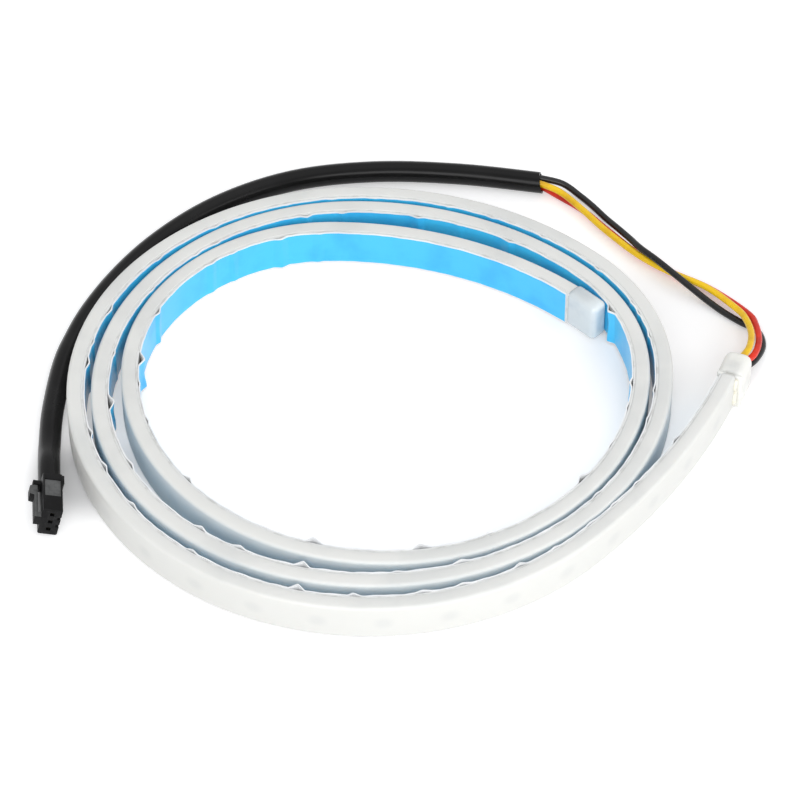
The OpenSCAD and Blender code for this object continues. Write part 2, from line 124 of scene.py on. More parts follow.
# Headings, the setting with their rise, and half their width in mm
BUCKLES = (
    (TALL_AT, "tall_buckle", 3.1), (MIDDLE_AT, "middle_buckle", 2.7),
    (LOW_AT, "low_buckle", 2.3), (CAP_SIDE_AT, "tall_buckle", 3.1),
)
FILM_STEP = 1.5
# Heights across the film, as parts of half its width
FILM_LEVELS = (-1, -0.965, -0.7, -0.35, 0, 0.35, 0.7, 0.955, 1)

# The board and the rows on it: node, slot, first place, step, offset, size, face, materials
LED_FIRST = 9.0
LED_PITCH = 9.0
BOARD_END = 8.0
SOLDER_L = 2.4
FACE_DEPTH = 0.04
LED_SIZE = (3.5, 2.8, 0.7)
CHIP_ROWS = {
    "red_light_row": ("red_leds", "red_light", 0, 2, -0.45, LED_SIZE, 1.1,
                      "light body", "red light"),
    "amber_light_row": ("amber_leds", "amber_light", 1, 2, -0.45, LED_SIZE, 1.1,
                        "light body", "amber light"),
    "resistor_row": ("resistors", "resistor_body", 2.5, 3, -0.55, (2.0, 1.25, 0.5), 0.4,
                     "resistor", "resistor face"),
}
# Colour, darker colour and roughness of what is inside
INNER_FINISHES = {
    "board": ((0.75, 0.77, 0.74), (0.6, 0.64, 0.6), 0.45),
    "solder": ((0.68, 0.69, 0.7), (0.5, 0.51, 0.53), 0.3),
    "cap seal": ((0.75, 0.78, 0.78), (0.66, 0.7, 0.7), 0.5),
    "light body": ((0.85, 0.85, 0.83), (0.75, 0.75, 0.72), 0.4),
    "resistor": ((0.03, 0.03, 0.035), (0.06, 0.06, 0.06), 0.4),
    "resistor face": ((0.6, 0.6, 0.6), (0.5, 0.5, 0.5), 0.3),
    "red light": ((0.6, 0.05, 0.04), (0.5, 0.03, 0.03), 0.2),
    "amber light": ((0.8, 0.45, 0.05), (0.7, 0.35, 0.03), 0.2),
}
METALS = ("solder", "tinned brass")
# How far the painted shadow of a light's chip reaches on the silicone's face, in mm: along and up
CHIP_SHADOW_REACH = (3.4, 2.6)

# The lead, in mm: the sleeve's route and the wires' own stretches
SLEEVE_D = 6.5
SLEEVE_WALL = 0.5
MOUTH_SLANT = np.array((-0.2, 0.12, 0.2))
WIRE_D = 2.0
WIRE_X = 0.3
WIRE_STEP = 2.4
WIRE_START = 10.0
FACE_ROOM = 0.02
SLEEVE_ROUTE = (
    (43, 95, 3.25), (18, 98.9, 3.25), (-8, 99.9, 3.25), (-33, 95.8, 3.25), (-55.5, 84.5, 3.25),
    (-74, 67.3, 3.25), (-88, 46.3, 3.25), (-97, 23.8, 3.25), (-100.3, 1, 3.25),
    (-100.6, -16, 3.45),
)
YELLOW_ROUTE = (
    (101.8, 19.5, 8.2), (103, 27, 6.6), (101.9, 34.5, 5.1), (99.3, 40.2, 4), (91.2, 50, 2.9),
    (80.6, 56.8, 2.65), (71.5, 64, 2.65), (61.7, 75, 2.65), (54.5, 84.6, 2.8), (48.5, 91, 3.3),
)
RED_ROUTE = (
    (103.2, 18.6, 6), (105.2, 25.5, 5), (104.8, 33, 4), (102.6, 39.3, 2.9), (92.1, 51.3, 1.2),
    (81.5, 58.1, 1.05), (72.5, 65.1, 1.05), (62.9, 76, 1.05), (55.4, 85.2, 1.05),
    (48.6, 91.1, 1.1),
)
BLACK_ROUTE = (
    (103.6, 19, 3.2), (106.6, 26.5, 1.9), (105.4, 33.5, 1.1), (100.4, 37.5, 1.05),
    (95.7, 41.6, 1.05), (91, 45.8, 1.8), (86.2, 49.9, 3.3), (81.3, 54.4, 4.6), (76.6, 59.8, 4.8),
    (71.9, 65.5, 4.3), (69.3, 70.3, 3.2), (66, 75.7, 2.2), (62.3, 81.3, 1.3), (58.5, 86.9, 1.05),
    (54.7, 91.4, 1.2), (49.6, 95.2, 2.6),
)
# Level in the lead cap, route, place in the bundle, way in the plug, darker colour
WIRES = {
    "yellow_wire": (1, YELLOW_ROUTE, 30, 1, (222, 168, 12)),
    "red_wire": (0, RED_ROUTE, 270, -1, (196, 34, 16)),
    "black_wire": (-1, BLACK_ROUTE, 150, 0, (26, 26, 28)),
}
BUNDLE_R = 1.4

# The plug: it leans on its long edge and faces the front
LEAN = math.radians(14.0)
TURN = math.radians(4.0)
PLUG_L = 14.0
PLUG_T = 5.6
PLUG_H = 10.3
WAY_PITCH = 3.0
FAN_L = 5.0
PLUG_REST = PLUG_H / 2 * math.cos(LEAN) + PLUG_T / 2 * math.sin(LEAN)
PLUG_BACK = np.array((-99.6, -33, PLUG_REST))
PLUG_AHEAD = np.array((math.sin(TURN), -math.cos(TURN), 0))
PLUG_SIDE = np.cross(UP, PLUG_AHEAD)
PLUG_U = math.cos(LEAN) * PLUG_SIDE - math.sin(LEAN) * UP
PLUG_V = math.sin(LEAN) * PLUG_SIDE + math.cos(LEAN) * UP

# The glue bead: height and place along the strip of its points, and their share of its radius
BEAD_AT = ((11.9, 0.1), (9.4, -0.8), (7.0, -0.1), (4.2, -1.1), (1.6, -0.2))
BEAD_SWELL = (1, 0.85, 0.7, 1, 0.8)

# The camera stands as the photographer's did
CAMERA_DOWN = 46.0
CAMERA_AWAY = 1.3
CAMERA_LENS = 202.4
CAMERA_CLIP = (0.01, 50.0)

# The studio: place, size and energy of each lamp, and the light from all round
LAMPS = {
    "front softbox": ((-0.05, -1.05, 0.62), 0.9, 7.5),
    "top softbox": ((0.3, 0.35, 1.3), 1.2, 1.6),
    "right softbox": ((0.95, -0.4, 0.5), 0.7, 3.0),
}
WORLD_COLOUR = (0.98, 0.99, 1.0)
WORLD_LIGHT = 0.64
FLOOR_HALF = 2.5
FLOOR_DROP = 0.00002
FLOOR_GLOW = 0.4
# Painted shadows on the floor, between coil and lead and between plug and coil: middle, inner and
# outer reach, what is left of the glow
PAINTED_FLOOR_SHADOWS = (
    ((0.074, 0.03, 0.0), 0.012, 0.05, 0.5),
    ((-0.093, -0.024, 0.0), 0.006, 0.02, 0.0),
)


# Paths


def spoke(angle):
    """Unit vectors at headings in degrees."""
    a = np.radians(angle)
    return np.stack((np.cos(a), np.sin(a)), axis=-1)


def unit(v):
    """Vectors brought to a length of one."""
    return v / np.linalg.norm(v, axis=-1, keepdims=True)


class Coil:
    """The strip's path: arcs of an eighth of a turn that meet without a corner."""

    def __init__(self):
        count = len(BENDS)
        self.radii = COIL_R + EIGHTH_STEP * np.arange(count) + np.array(BENDS)
        self.starts = EIGHTH * np.arange(1, count + 1)
        sweeps = np.array([EIGHTH] * (count - 1) + [TAIL_SWEEP])
        first = np.array(COIL_START) - self.radii[0] * spoke(self.starts[0])
        steps = -np.diff(self.radii)[:, None] * spoke(self.starts[1:])
        self.centres = np.cumsum(np.vstack((first, steps)), axis=0)
        self.lengths = np.append(0.0, np.cumsum(self.radii * np.radians(sweeps)))
        self.length = float(self.lengths[-1])

    def arc(self, s):
        """Which arc each length falls on."""
        i = np.searchsorted(self.lengths, np.asarray(s), side="right") - 1
        return np.clip(i, 0, len(self.radii) - 1)

    def heading(self, s):
        """The heading in degrees at each length."""
        i = self.arc(s)
        return self.starts[i] + np.degrees((np.asarray(s) - self.lengths[i]) / self.radii[i])

    def length_at(self, heading):
        """The length at a heading counted on from turn to turn."""
        i = min(int((heading - EIGHTH) // EIGHTH), len(self.radii) - 1)
        return self.lengths[i] + math.radians(heading - self.starts[i]) * self.radii[i]

    def point(self, s, outward=0.0):
        """Places at lengths s along the strip, offset outward, in mm."""
        i = self.arc(s)
        reach = self.radii[i] + np.asarray(outward)
        return self.centres[i] + reach[..., None] * spoke(self.heading(s))

    def local(self, s):
        """A function that places (outward, ahead, z) from the length s, in mm."""
        flat, angle = self.point(s), float(self.heading(s))

        def place(outward, ahead, z):
            return np.append(flat + outward * spoke(angle) + ahead * spoke(angle + 90), z)

        return place


COIL = Coil()
AT_START = COIL.local(0.0)
AT_TAIL = COIL.local(COIL.length)


def find_home():
    """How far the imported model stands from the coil's own numbers, in mm."""
    s = np.linspace(0, COIL.length, 4000)
    edge = COIL.point(s, np.full(s.shape, FRONT_X))
    low = np.array(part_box("silicone_profile")[0][:2]) / MM
    return np.append(low - edge.min(axis=0), 0.0)


HOME = find_home()


def placed(points):
    """Points in mm of the coil's numbers, as points in metres of the frame."""
    return (np.asarray(points, dtype=float) + HOME) * MM


def along_strip(s, section):
    """Rings of a section of (outward, height) points at each length s."""
    m = np.shape(section)[-2]
    section = np.broadcast_to(section, (len(s), m, 2))
    flat = COIL.point(np.repeat(s, m), section[..., 0].reshape(-1))
    ring = np.concatenate((flat, section[..., 1].reshape(-1, 1)), axis=1)
    return placed(ring).reshape(len(s), m, 3)


def smooth_path(points, steps):
    """A Catmull-Rom curve through the points."""
    p = np.array(points, dtype=float)
    p = np.vstack((p[:1], p, p[-1:]))
    t = np.arange(steps)[:, None] / steps
    spans = [
        0.5 * (2 * b + (c - a) * t + (2 * a - 5 * b + 4 * c - d) * t * t
               + (3 * b - a - 3 * c + d) * t ** 3)
        for a, b, c, d in zip(p, p[1:], p[2:], p[3:])
    ]
    return np.vstack((*spans, p[-1]))


def ways(p, first=None, last=None):
    """Which way a path goes at each of its points."""
    first = p[1] - p[0] if first is None else first
    last = p[-1] - p[-2] if last is None else last
    return unit(np.vstack((first, p[2:] - p[:-2], last)))


def tube_rings(p, radius, sides, first=None, last=None, up=UP):
    """Rings of points round a path."""
    ahead = ways(p, first, last)
    side = unit(np.cross(up, ahead))[:, None]
    rise = np.cross(ahead[:, None], side)
    turn = np.radians(np.arange(sides) * 360 / sides)[:, None]
    radius = np.broadcast_to(radius, (len(p),))[:, None, None]
    return p[:, None] + radius * (np.cos(turn) * side + np.sin(turn) * rise)


def in_plug(u, v, w):
    """A place in the plug, in mm: across, up the row, and back from its face."""
    return PLUG_BACK + u * PLUG_U + v * PLUG_V + (PLUG_L - w) * PLUG_AHEAD


def sleeve_path(steps):
    """The sleeve's path from its mouth to the plug."""
    near = PLUG_BACK - 8 * PLUG_AHEAD - 0.3 * UP
    return smooth_path([*SLEEVE_ROUTE, near, PLUG_BACK], steps)


SLEEVE_FIRST = unit(np.subtract(SLEEVE_ROUTE[1], SLEEVE_ROUTE[0]))


def in_sleeve(angle):
    """The path of the wire that stands at an angle in the sleeve."""
    p = sleeve_path(2)
    ahead = ways(p, SLEEVE_FIRST, PLUG_AHEAD)
    side = unit(np.cross(UP, ahead))
    out, rise = BUNDLE_R * spoke(angle)
    return p + out * side + rise * np.cross(ahead, side)


def wire_path(level, route, angle, row):
    """A wire from its solder joint, through cap and sleeve, to its contact."""
    z = MID_Z + level * WIRE_STEP
    inner = [np.append(COIL.point(COIL.length - back, WIRE_X), z)
             for back in (WIRE_START - FACE_ROOM, WIRE_START / 2)]
    hidden = in_sleeve(angle)
    free = smooth_path([AT_TAIL(WIRE_X, LEAD_NOSE + 0.5, z), *route, hidden[0]], 6)
    free[:, 2] = np.maximum(free[:, 2], WIRE_D / 2)
    ends = [in_plug(0, row * WAY_PITCH, PLUG_L - FAN_L + back) for back in (0.8, FACE_ROOM)]
    return np.array([*inner, AT_TAIL(WIRE_X, 0, z), *free, *hidden[1:], *ends])


# Mesh helpers


def add_object(name, data):
    """A new object in the scene."""
    obj = bpy.data.objects.new(name, data)
    bpy.context.scene.collection.objects.link(obj)
    return obj


def new_object(name, verts, faces):
    """A smooth mesh object of vertices and faces."""
    mesh = bpy.data.meshes.new(name)
    mesh.from_pydata([tuple(v) for v in verts], [], [tuple(f) for f in faces])
    mesh.validate()
    mesh.polygons.foreach_set("use_smooth", [True] * len(mesh.polygons))
    return add_object(name, mesh)


def evaluated_mesh(obj):
    """What an object's modifiers give, as a new mesh."""
    bpy.context.view_layer.update()
    graph = bpy.context.evaluated_depsgraph_get()
    return bpy.data.meshes.new_from_object(obj.evaluated_get(graph))


def apply_modifiers(obj):
    """Turns a piece with modifiers into a plain mesh."""
    mesh = evaluated_mesh(obj)
    obj.modifiers.clear()
    old, obj.data = obj.data, mesh
    mesh.name = obj.name
    bpy.data.meshes.remove(old)


def as_mesh_object(name, path):
    """A new mesh object from what a path object gives; the path goes."""
    mesh = evaluated_mesh(path)
    mesh.name = name
    curve = path.data
    bpy.data.objects.remove(path)
    bpy.data.curves.remove(curve)
    return add_object(name, mesh)


def merge_close(bm):
    bmesh.ops.remove_doubles(bm, verts=bm.verts, dist=1e-6)


def face_outward(bm):
    bmesh.ops.recalc_face_normals(bm, faces=bm.faces)


def merge_flat(bm):
    bmesh.ops.dissolve_limit(bm, angle_limit=math.radians(0.5), verts=bm.verts, edges=bm.edges)


def edit_mesh(mesh, *steps):
    """Runs steps on a mesh in its editable form."""
    bm = bmesh.new()
    bm.from_mesh(mesh)
    for step in steps:
        step(bm)
    bm.to_mesh(mesh)
    bm.free()


def shade(obj, degrees):
    """Smooth shading with the edges sharp above an angle."""
    obj.data.polygons.foreach_set("use_smooth", [True] * len(obj.data.polygons))
    obj.data.set_sharp_from_angle(angle=math.radians(degrees))


def loft(rings, closed_ends=True):
    """Vertices and faces of a tube through rings of equal counts."""
    n, m = rings.shape[:2]
    faces = []
    for start in range(0, (n - 1) * m, m):
        for j in range(m):
            a, b = start + j, start + (j + 1) % m
            faces.append((a, b, b + m, a + m))
    if closed_ends:
        faces.append(tuple(range(m - 1, -1, -1)))
        faces.append(tuple(range((n - 1) * m, n * m)))
    return rings.reshape(-1, 3), faces


def lofted(name, rings, degrees=None, closed_ends=True):
    """A tube object through rings in the frame, with its normals outward."""
    obj = new_object(name, *loft(rings, closed_ends))
    edit_mesh(obj.data, merge_close, face_outward)
    if degrees:
        shade(obj, degrees)
    return obj


def rounded_block(name, low, high, radius, segments, place):
    """A box with rounded edges, given in mm and placed by a function."""
    bm = bmesh.new()
    bmesh.ops.create_cube(bm, size=1.0)
    low, high = np.array(low, dtype=float), np.array(high, dtype=float)
    for v in bm.verts:
        v.co = (low + high) / 2 + np.array(v.co) * (high - low)
    bmesh.ops.bevel(bm, geom=bm.edges[:], offset=radius, segments=segments, profile=0.5,
                    affect="EDGES", clamp_overlap=True)
    for v in bm.verts:
        v.co = placed(place(*v.co))
    mesh = bpy.data.meshes.new(name)
    bm.to_mesh(mesh)
    bm.free()
    return add_object(name, mesh)


def combine(obj, tools, operation):
    """Cuts the tools from a piece, or adds them, and removes the tools."""
    for tool in tools:
        modifier = obj.modifiers.new(tool.name, "BOOLEAN")
        modifier.operation = operation
        modifier.solver = "EXACT"
        modifier.object = tool
    apply_modifiers(obj)
    for tool in tools:
        data = tool.data
        bpy.data.objects.remove(tool)
        bpy.data.meshes.remove(data)


def softened_copy(name, node, width, segments=2):
    """A copy of a CAD node with its edges rounded."""
    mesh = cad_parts[node].data.copy()
    mesh.name = name
    mesh.materials.clear()
    obj = add_object(name, mesh)
    edit_mesh(mesh, merge_close, merge_flat)
    bevel = obj.modifiers.new("soft edges", "BEVEL")
    bevel.width = width
    bevel.segments = segments
    bevel.limit_method = "ANGLE"
    bevel.angle_limit = math.radians(30)
    apply_modifiers(obj)
    shade(obj, 40)
    return obj


def paint(obj, *materials):
    """Gives a piece its materials, first slot first."""
    obj.data.materials.clear()
    for mat in materials:
        obj.data.materials.append(mat)


def dress(mat, *nodes):
    """Gives CAD nodes a material, on their objects."""
    for node in nodes:
        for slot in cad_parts[node].material_slots:
            slot.link = "OBJECT"
            slot.material = mat


def finish_piece(obj, node):
    """Puts a piece on its body, in place of its CAD node."""
    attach(obj, BODY)
    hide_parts(node)


# Materials and node groups


class Wiring:
    """Adds, feeds and joins nodes of one tree in few words."""

    def __init__(self, tree):
        self.tree = tree
        self.nodes = tree.nodes

    def feed(self, socket, value):
        """Joins a socket to another one, or gives it a value of its own."""
        if isinstance(value, bpy.types.NodeSocket):
            self.tree.links.new(value, socket)
        elif isinstance(value, (int, float, str)):
            socket.default_value = value
        else:
            value = tuple(value)
            missing = len(socket.default_value) - len(value)
            socket.default_value = value + (1.0,) * missing

    def fill(self, sockets, values):
        for key, value in values.items():
            self.feed(sockets[key], value)

    def add(self, kind, inputs=None, **settings):
        """A new node with its settings, and its inputs fed."""
        node = self.nodes.new(kind)
        for key, value in settings.items():
            setattr(node, key, value)
        self.fill(node.inputs, inputs or {})
        return node

    def get(self, kind, inputs=None, **settings):
        """The first output of a new node."""
        return self.add(kind, inputs, **settings).outputs[0]

    def math(self, operation, a, b=None):
        inputs = {0: a} if b is None else {0: a, 1: b}
        return self.get("ShaderNodeMath", inputs, operation=operation)

    def mix(self, factor, a, b):
        return self.add("ShaderNodeMix", {0: factor, 6: a, 7: b}, data_type="RGBA").outputs[2]

    def noise(self, place, scale, detail):
        inputs = {"Vector": place, "Scale": scale, "Detail": detail}
        return self.add("ShaderNodeTexNoise", inputs).outputs["Fac"]

    def ramp(self, value, low, high, out_low=0.0, out_high=1.0):
        inputs = {0: value, 1: low, 2: high, 3: out_low, 4: out_high}
        return self.get("ShaderNodeMapRange", inputs, interpolation_type="SMOOTHSTEP")

    def upright(self, curve):
        return self.get("GeometryNodeSetCurveNormal", {"Curve": curve}, mode="Z_UP")

    def shifted(self, geometry, x, rotation=(0, 0, 0)):
        return self.get("GeometryNodeTransform", {
            "Geometry": geometry, "Rotation": rotation,
            "Translation": self.get("ShaderNodeCombineXYZ", {"X": x}),
        })

    def painted(self, geometry, material):
        inputs = {"Geometry": geometry, "Material": material}
        return self.get("GeometryNodeSetMaterial", inputs)


def new_group(name, tree_kind, inputs, outputs):
    """A node group with sockets given as (label, kind) or (label, kind, default)."""
    group = bpy.data.node_groups.new(name, tree_kind)
    for in_out, sockets in (("INPUT", inputs), ("OUTPUT", outputs)):
        for label, kind, *default in sockets:
            socket = group.interface.new_socket(name=label, in_out=in_out,
                                                socket_type="NodeSocket" + kind)
            if default:
                socket.default_value = default[0]
    w = Wiring(group)
    return group, w, w.add("NodeGroupInput").outputs, w.add("NodeGroupOutput").inputs


def handling_marks():
    """Faint smudges, dust and fine grain that every moulded piece shows."""
    name = "handling marks"
    if name in bpy.data.node_groups:
        return bpy.data.node_groups[name]
    group, w, given, out = new_group(
        name, "ShaderNodeTree",
        [("Colour", "Color", (0.8, 0.8, 0.8, 1)), ("Dark Colour", "Color", (0.6, 0.6, 0.6, 1)),
         ("Roughness", "Float", 0.5), ("Roughness Spread", "Float", 0.1),
         ("Patch Scale", "Float", 60.0), ("Grain Scale", "Float", 2500.0)],
        [("Colour", "Color"), ("Roughness", "Float"), ("Height", "Float")],
    )
    place = w.add("ShaderNodeTexCoord").outputs["Object"]
    patch = w.noise(place, given["Patch Scale"], 4.0)
    grain = w.noise(place, given["Grain Scale"], 2.0)
    smudge = w.ramp(patch, 0.42, 0.72)
    spread = w.math("MULTIPLY", w.math("SUBTRACT", patch, 0.5), given["Roughness Spread"])
    w.fill(out, {
        "Colour": w.mix(smudge, given["Colour"], given["Dark Colour"]),
        "Roughness": w.math("ADD", given["Roughness"], w.math("MULTIPLY", spread, 2.0)),
        "Height": w.math("ADD", w.math("MULTIPLY", patch, 0.4), grain),
    })
    return group


def new_material(name, colour, dark, roughness, spread=0.08, patch=60.0, grain=2500.0,
                 bump=0.05, depth=0.00002, more=None):
    """A material whose colour, roughness and bump come from the handling marks."""
    mat = bpy.data.materials.new(name)
    mat.use_nodes = True
    mat.diffuse_color = tuple(colour) + (1.0,)
    w = Wiring(mat.node_tree)
    marks = w.add("ShaderNodeGroup", {
        "Colour": colour, "Dark Colour": dark, "Roughness": roughness,
        "Roughness Spread": spread, "Patch Scale": patch, "Grain Scale": grain,
    }, node_tree=handling_marks(), name="marks").outputs
    rise = w.get("ShaderNodeBump", {"Strength": bump, "Distance": depth,
                                    "Height": marks["Height"]})
    w.fill(w.nodes["Principled BSDF"].inputs, {
        "Base Color": marks["Colour"], "Roughness": marks["Roughness"], "Normal": rise,
        "Metallic": float(name in METALS), **(more or {}),
    })
    return mat


def parts_of(mat):
    """A material's wiring, its shader's inputs and its marks' colour."""
    w = Wiring(mat.node_tree)
    return w, w.nodes["Principled BSDF"].inputs, w.nodes["marks"].outputs["Colour"]


def milky(weight, scale, coat=0.0):
    """Light goes a little way into silicone before it comes out again."""
    return {"Subsurface Weight": weight, "Subsurface Scale": scale,
            "Subsurface Radius": (1.0, 0.95, 0.9), "Coat Weight": coat}


def silicone_material(look):
    """Milky silicone; the shadows of the lights inside are painted as faint grey spots on its outer
    face.
    """
    mat = new_material("milky silicone", look.milk, look.milk_shade, 0.42, 0.12, 45.0, 2600.0,
                       0.3, 0.00004, milky(0.35, 0.002))
    w, shader, colour = parts_of(mat)
    along, height, outer = (w.add("ShaderNodeAttribute", attribute_name=name).outputs["Fac"]
                            for name in ("along", "height", "outer"))
    # Painted shadow of the lights' chips: faint grey spots along the outer face
    pitch = 2 * LED_PITCH
    turn = w.math("FRACT", w.math("DIVIDE", along, pitch * MM))
    near = w.math("MULTIPLY", w.math("ABSOLUTE", w.math("SUBTRACT", turn, 0.5)), pitch)
    wide = w.math("DIVIDE", near, CHIP_SHADOW_REACH[0])
    tall = w.math("DIVIDE", w.math("SUBTRACT", height, MID_Z), CHIP_SHADOW_REACH[1])
    squares = [w.math("MULTIPLY", part, part) for part in (wide, tall)]
    spot = w.ramp(w.math("SQRT", w.math("ADD", *squares)), 0.2, 1.15, 0.45, 0.0)
    # Painted light: the outer face gets its own colour, setting how bright it looks apart from the
    # top
    face = w.mix(outer, colour, look.lens)
    w.feed(shader["Base Color"], w.mix(w.math("MULTIPLY", spot, outer), face, look.spot))
    return mat


def film_materials(look):
    """Blue on the side that faces out of the tape, white at its cut edges and back."""
    front = new_material("blue release film", look.film, look.film_shade, 0.34, 0.1, 90.0,
                         1500.0, 0.1, 0.00003, {"Coat Weight": 0.15})
    w, shader, colour = parts_of(front)
    # The film tints what stands near it only a little
    seen = w.add("ShaderNodeLightPath").outputs["Is Diffuse Ray"]
    w.feed(shader["Base Color"], w.mix(w.math("MULTIPLY", seen, 0.5), colour, (0.62, 0.66, 0.7)))
    return front, new_material("film back", (0.9, 0.91, 0.92), (0.8, 0.82, 0.84), 0.5, 0.08, 90.0)


# Geometry Nodes: what follows the strip's path


def new_tree(name, numbers, materials):
    """A Geometry Nodes group with numbers, by their defaults, and materials to set."""
    inputs = [("Geometry", "Geometry")]
    inputs += [(label, "Float", value) for label, value in numbers.items()]
    inputs += [(label, "Material") for label in materials]
    return new_group(name, "GeometryNodeTree", inputs, [("Geometry", "Geometry")])


def set_inputs(obj, tree, values):
    """Gives an object a Geometry Nodes modifier, its inputs set by their labels."""
    modifier = obj.modifiers.new(tree.name, "NODES")
    modifier.node_group = tree
    for item in tree.interface.items_tree:
        if item.item_type == "SOCKET" and item.in_out == "INPUT" and item.name in values:
            modifier[item.identifier] = values[item.name]


def path_object(name, step):
    """A poly curve along the middle of the strip, at half its height."""
    flat = COIL.point(np.append(np.arange(0, COIL.length, step), COIL.length))
    points = placed(np.column_stack((flat, np.full(len(flat), MID_Z))))
    curve = bpy.data.curves.new(name, "CURVE")
    curve.dimensions = "3D"
    spline = curve.splines.new("POLY")
    spline.points.add(len(points) - 1)
    spline.points.foreach_set("co", np.column_stack((points, np.ones(len(points)))).ravel())
    return add_object(name, curve)


def profile_tree():
    """Sweeps the silicone's section along the path, hollow inside."""
    tree, w, given, end = new_tree("silicone profile", {
        "Height": 0.012, "Thickness": 0.0042, "Edge Radius": 0.001, "Offset": 0.0004,
        "Hollow Height": 0.0092, "Hollow Thickness": 0.0022, "Hollow Offset": 0.0002,
    }, ("Material",))
    path = w.upright(w.get("GeometryNodeStoreNamedAttribute", {
        "Name": "along", "Geometry": given["Geometry"],
        "Value": w.add("GeometryNodeSplineParameter").outputs["Length"],
    }, data_type="FLOAT", domain="POINT"))
    walls = w.add("GeometryNodeJoinGeometry")
    for which in ("", "Hollow "):
        shape = w.get("GeometryNodeCurvePrimitiveQuadrilateral", {
            "Width": given[which + "Thickness"], "Height": given[which + "Height"],
        })
        if not which:
            shape = w.get("GeometryNodeFilletCurve", {
                "Curve": shape, "Count": 5, "Radius": given["Edge Radius"],
            }, mode="POLY")
        wall = w.get("GeometryNodeCurveToMesh", {
            "Curve": path, "Profile Curve": w.shifted(shape, given[which + "Offset"]),
        })
        if which:
            wall = w.get("GeometryNodeFlipFaces", {0: wall})
        w.feed(walls.inputs[0], wall)
    real = w.get("GeometryNodeRealizeInstances", {0: walls.outputs[0]})
    w.feed(end[0], w.painted(real, given["Material"]))
    return tree


def chip_tree():
    """Sets one small part after another on the board, all facing outward."""
    tree, w, given, end = new_tree("parts on the board", {
        "First": 0.009, "Last": 1.0, "Pitch": 0.018, "Offset": 0.0, "Length": 0.0035,
        "Width": 0.0028, "Depth": 0.0007, "Face Radius": 0.0011,
    }, ("Body Material", "Face Material"))
    trimmed = w.get("GeometryNodeTrimCurve", {
        "Curve": w.upright(given["Geometry"]), 4: given["First"], 5: given["Last"],
    }, mode="LENGTH")
    spots = w.add("GeometryNodeCurveToPoints", {
        "Curve": trimmed, "Length": given["Pitch"],
    }, mode="LENGTH").outputs
    body = w.get("GeometryNodeMeshCube", {"Size": w.get("ShaderNodeCombineXYZ", {
        "X": given["Depth"], "Y": given["Width"], "Z": given["Length"],
    })})
    face = w.shifted(w.get("GeometryNodeMeshCylinder", {
        "Vertices": 16, "Radius": given["Face Radius"], "Depth": FACE_DEPTH * MM,
    }, fill_type="NGON"), w.math("MULTIPLY", given["Depth"], 0.5), (0, math.pi / 2, 0))
    chip = w.add("GeometryNodeJoinGeometry")
    for shape, label in ((body, "Body Material"), (face, "Face Material")):
        w.feed(chip.inputs[0], w.painted(shape, given[label]))
    row = w.get("GeometryNodeInstanceOnPoints", {
        "Points": spots["Points"], "Rotation": spots["Rotation"],
        "Instance": w.shifted(chip.outputs[0], given["Offset"]),
    })
    w.feed(end[0], w.get("GeometryNodeRealizeInstances", {0: row}))
    return tree


# Settings shown in the sidebar


def srgb(*parts):
    """A colour given as 0 to 255 sRGB, in linear light."""
    parts = [part / 255 for part in parts]
    return tuple(c / 12.92 if c <= 0.04045 else ((c + 0.055) / 1.055) ** 2.4 for c in parts)


def colour_property(name, description, *parts):
    return FloatVectorProperty(name=name, description=description, default=srgb(*parts),
                               subtype="COLOR", size=3, min=0.0, max=1.0)


def length_property(name, description, value):
    return FloatProperty(name=name, description=description, default=value, min=0.0,
                         subtype="DISTANCE", unit="LENGTH")


class StripLook(bpy.types.PropertyGroup):
    """Colours of the finishes."""

    milk: colour_property("Silicone", "Milky silicone of the strip", 230, 230, 227)
    milk_shade: colour_property("Silicone shade", "Handled silicone", 219, 220, 218)
    # Painted light: how bright the outer face looks, apart from the top; not a different material
    lens: colour_property("Lens", "The strip's clearer outer face", 229, 229, 225)
    # Colour of the painted shadows of the lights' chips on the outer face
    spot: colour_property("Light spots", "Silicone in front of a light", 213, 214, 212)
    cap: colour_property("End cap", "Bluish translucent plastic", 220, 228, 231)
    cap_shade: colour_property("End cap shade", "Thicker plastic", 203, 214, 221)
    lead_cap: colour_property("Lead cap", "Milky plastic", 244, 243, 236)
    lead_cap_shade: colour_property("Lead cap shade", "Thicker milky plastic", 228, 229, 224)
    glue: colour_property("Glue", "Dried clear glue", 240, 237, 222)
    film: colour_property("Film", "Blue release film", 64, 200, 255)
    film_shade: colour_property("Film streaks", "Streaks in the film", 54, 187, 251)
    tape: colour_property("Tape", "Foam tape", 228, 229, 228)
    yellow: colour_property("Yellow wire", "Yellow insulation", 248, 203, 18)
    red: colour_property("Red wire", "Red insulation", 236, 50, 20)
    black: colour_property("Black wire", "Black insulation", 14, 14, 15)
    sleeve: colour_property("Sleeve", "Black sleeve", 9, 9, 10)
    plug: colour_property("Plug", "Black nylon", 9, 9, 10)
    floor: colour_property("Floor", "Pale floor", 238, 238, 239)


class StripSizes(bpy.types.PropertyGroup):
    """Sizes of the dressed pieces."""

    edge_radius: length_property("Edge radius", "Rounding of the silicone's edges", 0.001)
    back_edge: length_property("Back edge", "Rounding of the edges by the tape", 0.0003)
    film_thickness: length_property("Film", "Thickness of the release film", 0.0004)
    tape_height: length_property("Tape height", "Height of the foam tape", 0.0116)
    film_height: length_property("Film height", "Height of the release film", 0.0118)
    tall_buckle: length_property("Tall buckles", "Rise of the tallest buckles", 0.002)
    middle_buckle: length_property("Middle buckles", "Rise of the middle buckles", 0.0012)
    low_buckle: length_property("Low buckles", "Rise of the lowest buckles", 0.0008)
    cap_rounding: length_property("Cap rounding", "Rounding of the caps", 0.0018)
    bead: length_property("Glue bead", "Radius of the glue bead", 0.001)
    plug_edge: length_property("Plug edges", "Rounding of the plug's edges", 0.00012)
    film_seed: IntProperty(name="Film seed", description="Seed of the buckles", default=7, min=0)


def settings():
    """The looks and sizes set in the sidebar."""
    scene = bpy.context.scene
    return scene.strip_look, scene.strip_sizes


# Operators


